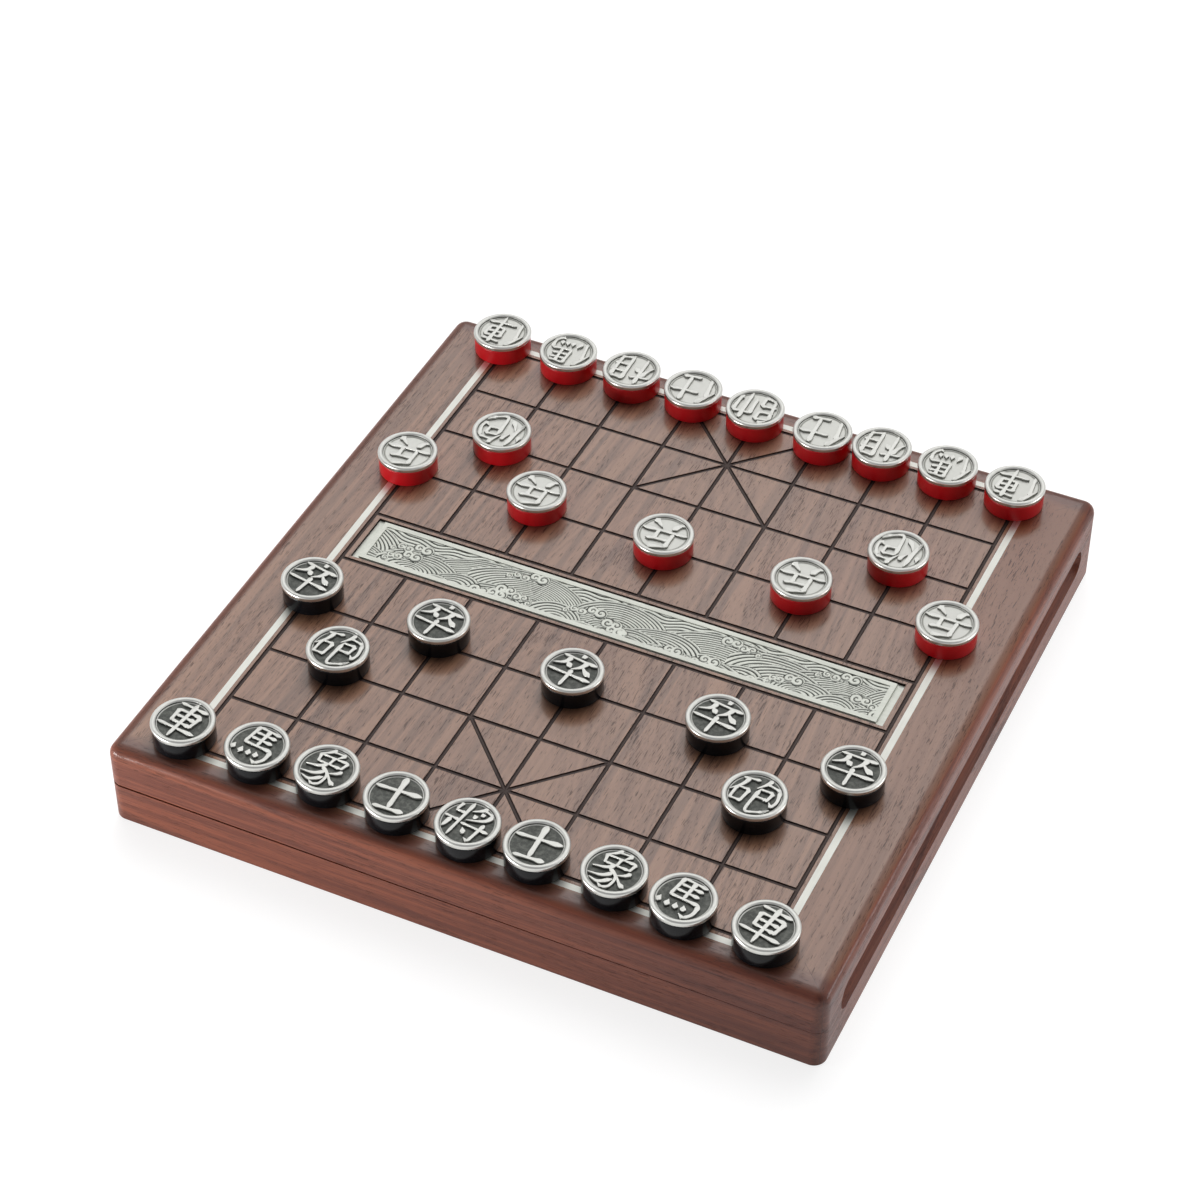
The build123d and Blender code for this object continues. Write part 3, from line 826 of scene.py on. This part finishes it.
def within(x, y):
    """The place itself, or the nearest one inside the round ground."""
    share = min(1.0, SIGN_REACH / max(hypot(x, y), 1e-9))
    return x * share, y * share


def add_sign(bm, name):
    """Adds a sign's strokes to a cap, each a hair higher than the one before."""
    scale = SIGN_SIZE / 100
    for order, (kind, *line) in enumerate(SIGNS[name]):
        points = [within((x - 50) * scale, (y - 50) * scale) for x, y in line]
        width = STROKE_WIDTH * WEIGHTS[name] * (0.88 if kind == "heng" else 1.0)
        high = CAP_SIGN + STROKE_LIFT * order
        stroke(bm, kind, points, width, CAP_GROUND - 0.1 * MM, high)


# A side's finishes and signs, how dark its caps' patina and painted shade are and which way it faces.
SIDES = {
    "black": SimpleNamespace(
        lacquer=black_lacquer, pewter=cap_black, signs=BLACK, ground=1.0, deep=1.0, facing=0.0,
    ),
    "red": SimpleNamespace(
        lacquer=red_lacquer, pewter=cap_red, signs=RED, ground=0.14, deep=0.85, facing=pi,
    ),
}


def game_piece(name, body_form, cap_form):
    """Puts a lacquered body and its cap with a sign in the place of a CAD piece."""
    colour, kind = name.split("_")[:2]
    side = SIDES[colour]
    low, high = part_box(name)
    place = Matrix.Translation(((low.x + high.x) / 2, (low.y + high.y) / 2, low.z))

    body = bmesh.new()
    body.from_mesh(body_form)
    bmesh.ops.transform(body, matrix=place, verts=body.verts)
    shell = finish_piece(f"{name}_body", body, side.lacquer, name, sharp=50)
    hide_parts(name)

    cap = bmesh.new()
    cap.from_mesh(cap_form)
    add_sign(cap, side.signs[kind])
    shade_and_patina_marks(cap, side.ground, side.deep)
    turn = radians(TURNS.get(name, 0)) + side.facing
    place = place @ Matrix.Rotation(turn, 4, "Z")
    bmesh.ops.transform(cap, matrix=place, verts=cap.verts)
    top = finish_piece(f"{name}_cap", cap, side.pewter, name)
    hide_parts(name)


body_form = as_mesh("body_form", piece_body())
cap_form = as_mesh("cap_form", piece_cap())
for name in PIECES:
    game_piece(name, body_form, cap_form)
bpy.data.meshes.remove(body_form)
bpy.data.meshes.remove(cap_form)


# ---------------------------------------------------------------- waves cast on the river plate

Swell = namedtuple("Swell", "x y radius flat turn")

# Rows of swells from the back: place in Y, radius and distance apart, in millimetres.
SWELL_ROWS = ((-9.0, 34.0, 37.0), (-14.0, 23.0, 29.0), (-12.0, 14.5, 23.0), (-16.0, 12.5, 18.0))
ROW_START = -128.0
ROW_SHIFT = 9.0
ROW_END = 136.0

CURLS = 5  # in each crest of foam
CURL_SIZE = 3.1 * MM
CURL_SHRINK = 0.34 * MM
CURL_PITCH = 4.4 * MM


def swells():
    """Overlapping bundles of swell, back to front, each a little unlike the one before."""
    bundles = []
    for row, (y, size, apart) in enumerate(SWELL_ROWS):
        x = ROW_START + ROW_SHIFT * row
        turn = row * 3
        while x < ROW_END:
            turn += 1
            radius = size * (0.86 + 0.16 * sin(turn * 2.3 + row))
            flat = 0.60 + 0.16 * sin(turn * 3.1)
            middle = y + 2.4 * sin(turn * 1.7)
            bundles.append(Swell(x * MM, middle * MM, radius * MM, flat, turn))
            x += apart * (0.92 + 0.26 * cos(turn * 1.3))
    return bundles


def ridge(distance):
    """A broad, round-topped ridge for each wave pitch, with a narrow hollow between."""
    share = (distance / WAVE_PITCH) % 1.0
    return min(1.0, 1.22 * sin(pi * share))


def swell_height(x, y, layout):
    """Height of the cast water at a place and how far it lies in a hollow, from 0 to 1."""
    rise = ridge(y + 2.2 * MM * sin(x * 120) + 0.7 * MM * sin(x * 410 + 1))
    height = 0.6 * rise
    for swell in layout:
        beside = x - swell.x
        ahead = (y - swell.y) / swell.flat
        bend = 1.6 * MM * sin(2.4 * beside / swell.radius + swell.turn)
        far = hypot(beside, ahead) + bend + 0.25 * beside * sin(swell.turn * 1.9)
        if far > swell.radius:
            continue
        depth = swell.radius - far
        crest = max(0.0, 1 - depth / (2.4 * WAVE_PITCH))
        rise = ridge(depth * (1 + 0.12 * sin(swell.turn * 5)))
        height = (0.58 + 0.42 * crest) * rise
    return height, 1 - rise


def foam_height(x, y, layout):
    """Curling foam on the crests of some swells: a row of spiral curls, large to small."""
    best = 0.0
    for swell in layout:
        if swell.turn % 2:
            continue
        side = 1 if swell.turn % 3 else -1
        reach = swell.radius * (1 - 0.12 * abs(sin(swell.turn * 1.9)))
        for step in range(CURLS):
            angle = pi / 2 + side * (0.06 + CURL_PITCH / swell.radius * step)
            bob = 0.8 * MM * sin(step * 2.4)
            beside = x - swell.x - reach * cos(angle)
            ahead = y - swell.y - reach * swell.flat * sin(angle) - bob
            far = hypot(beside, ahead) / (CURL_SIZE - CURL_SHRINK * step)
            if far < 1.0:
                curl = far * 1.45 + side * atan2(ahead, beside) / (2 * pi) + 0.3 * step
                line = min(1.0, 1.45 * abs(sin(pi * curl)))
                best = max(best, 0.18 + 0.82 * line * min(1.0, 6 * (1 - far)))
    return best


def river_waves():
    """The cast water as a closed sheet that fills the pocket of the river plate."""
    layout = swells()
    bm = bmesh.new()
    bmesh.ops.create_grid(
        bm, x_segments=round(POCKET_LENGTH / WATER_STEP),
        y_segments=round(POCKET_WIDTH / WATER_STEP), size=0.5,
    )
    bmesh.ops.scale(bm, vec=(POCKET_LENGTH, POCKET_WIDTH, 1), verts=bm.verts)
    layer = bm.verts.layers.float.new("patina_and_shade")
    for point in bm.verts:
        x, y = point.co.x, point.co.y
        near = [swell for swell in layout if abs(swell.x - x) < swell.radius + 2 * MM]
        foam = foam_height(x, y, near)
        height, hollow = (foam, 1 - foam) if foam > 0 else swell_height(x, y, near)
        point.co.z = WATER_LOW + WATER_RISE * height
        point[layer] = hollow
    border = [edge for edge in bm.edges if edge.is_boundary]
    grown = bmesh.ops.extrude_edge_only(bm, edges=border)["geom"]
    for item in grown:
        if isinstance(item, bmesh.types.BMVert):
            item.co.z = POCKET_FLOOR + 0.02 * MM
    foot = [item for item in grown if isinstance(item, bmesh.types.BMEdge)]
    bmesh.ops.edgeloop_fill(bm, edges=foot)
    middle = (PLATE_LOW + PLATE_HIGH) / 2
    bmesh.ops.translate(bm, vec=(middle.x, middle.y, 0), verts=bm.verts)
    return bm


finish_piece("river_waves", river_waves(), wave_finish, "lid", sharp=80)


# ---------------------------------------------------------------- hinge screws

def screw_head():
    """A slotted head, its face at height 0: a sunk disc with two rounded halves on it."""
    edge = SCREW_RADIUS - 0.15 * MM
    disc = 0.05 * MM
    profile = [(0, -0.25 * MM), (SCREW_RADIUS, -0.25 * MM), (SCREW_RADIUS, 0.02 * MM)]
    profile += [(edge, disc), (0, disc)]
    bm = spun(profile, 32)
    start = asin(SCREW_SLOT / edge)
    for turn in (0, pi):
        angles = [turn + start + (pi - 2 * start) * i / 14 for i in range(15)]
        outline = [bm.verts.new((edge * cos(a), edge * sin(a), 0)) for a in angles]
        raise_outline(bm, outline, 0.34 * MM, 0.10 * MM)
    return bm


def hinge_screws(leaf, body, faces_up):
    """Two screws in a leaf, at the face that shows when the lid is open."""
    low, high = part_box(leaf)
    middle = (low.y + high.y) / 2
    face = SEAM if faces_up else SEAM + SEAM_LEFT
    tilt = Matrix.Rotation(0 if faces_up else pi, 4, "X")
    pair = bmesh.new()
    for side in (-1, 1):
        head = screw_head()
        turn = Matrix.Rotation(0.6 * side + 9 * middle, 4, "Z")  # no two slots alike
        place = (SCREW_FROM_EDGE - HALF_WIDTH, middle + side * SCREW_SPREAD, face)
        matrix = Matrix.Translation(place) @ tilt @ turn
        bmesh.ops.transform(head, matrix=matrix, verts=head.verts)
        form = as_mesh("screw_form", head)
        pair.from_mesh(form)
        bpy.data.meshes.remove(form)
    finish_piece(f"{leaf}_screws", pair, screw_brass, body)


for end in ("front", "back"):
    hinge_screws(f"hinge_{end}_base_leaf", "base", True)
    hinge_screws(f"hinge_{end}_lid_leaf", "lid", False)


# ---------------------------------------------------------------- floor, light and camera

CAMERA_PLACE = (0.4007, -0.8748, 0.9305)
CAMERA_AIM = (-0.0132, 0.0064, 0.039)
LENS = 94.73

WHITE = (1, 1, 1, 1)
FLOOR_REACH = 6.0
FLOOR_LIT = (0.80, 0.80, 0.80, 1)  # the floor that throws light back at the box
FLOOR_SEEN = (0.285, 0.285, 0.285, 1)  # and the one that is seen, which also glows
FLOOR_GLOW = 0.82
SKY_GREY = (0.40, 0.40, 0.41, 1)
ROOM_LIGHT = 0.04
PATCH_LIGHT = 7.1  # of a bright patch of sky, at its middle
PATCH_UP, PATCH_AWAY, PATCH_LEFT = 0.80, 0.58, 0.15
PATCH_NARROWNESS = 11


def seen_directly(tree):
    """1 for rays from the camera, a mirror or glass, and 0 for the light that falls on things."""
    path = Wire(tree).node("ShaderNodeLightPath", {}, {}).socket.node
    camera, mirror, glass = [
        Wire(tree, path.outputs[f"Is {kind} Ray"]) for kind in ("Camera", "Glossy", "Transmission")
    ]
    return (camera + mirror + glass).smaller(1.0)


def turned_to(place, aim):
    """The rotation of a lamp or a camera that looks from a place at another."""
    return (Vector(aim) - Vector(place)).to_track_quat("-Z", "Y").to_euler()


def floor():
    bm = bmesh.new()
    bmesh.ops.create_grid(bm, x_segments=1, y_segments=1, size=FLOOR_REACH)
    mesh = as_mesh("studio_floor", bm)
    made, shader = material("studio_floor")[:2]
    seen = seen_directly(made.node_tree)
    feed(shader, Base_Color=seen.mix(FLOOR_LIT, FLOOR_SEEN), Roughness=0.9)
    feed(shader, Specular_IOR_Level=0.0, Emission_Color=WHITE, Emission_Strength=seen * FLOOR_GLOW)
    mesh.materials.append(made)
    plane = bpy.data.objects.new("studio_floor", mesh)
    bpy.context.scene.collection.objects.link(plane)


def surroundings():
    """A room that is white low down and high up at the back, with a bright patch there."""
    world = bpy.data.worlds.new("studio")
    bpy.context.scene.world = world
    world.use_nodes = True
    tree = world.node_tree
    seen = seen_directly(tree)
    right, away, up = Wire(tree).node("ShaderNodeTexCoord", {}, {}).axes()
    low_sky = up.step(0.08, 0.30).mix(WHITE, SKY_GREY)
    sky = (up.step(0.26, 0.44) * away.step(-0.30, 0.15)).mix(low_sky, WHITE)
    towards_patch = (PATCH_UP * up + PATCH_AWAY * away - PATCH_LEFT * right).larger(0.0)
    light = ROOM_LIGHT + PATCH_LIGHT * towards_patch ** PATCH_NARROWNESS
    strength = seen + (1 - seen) * light
    back = tree.nodes["Background"]
    tree.links.new(sky.socket, back.inputs["Color"])
    tree.links.new(strength.socket, back.inputs["Strength"])


def camera():
    data = bpy.data.cameras.new("view")
    data.lens = LENS
    data.sensor_width = 36
    made = bpy.data.objects.new("view", data)
    made.location = CAMERA_PLACE
    made.rotation_euler = turned_to(CAMERA_PLACE, CAMERA_AIM)
    bpy.context.scene.collection.objects.link(made)
    bpy.context.scene.camera = made


def softbox(name, place, aim, width, depth, watts):
    data = bpy.data.lights.new(name, "AREA")
    data.shape = "RECTANGLE"
    data.size = width
    data.size_y = depth
    data.energy = watts
    lamp = bpy.data.objects.new(name, data)
    lamp.location = place
    lamp.visible_camera = False
    lamp.rotation_euler = turned_to(place, aim)
    bpy.context.scene.collection.objects.link(lamp)


floor()
surroundings()
camera()
softbox("near_left", (-0.52, -0.55, 0.09), (-0.12, -0.16, 0.02), width=0.35, depth=0.12, watts=3.4)
softbox("right", (0.85, 0.25, 0.10), (0.15, 0, 0.02), width=0.50, depth=0.15, watts=1.25)
bpy.context.scene.view_settings.view_transform = "Standard"
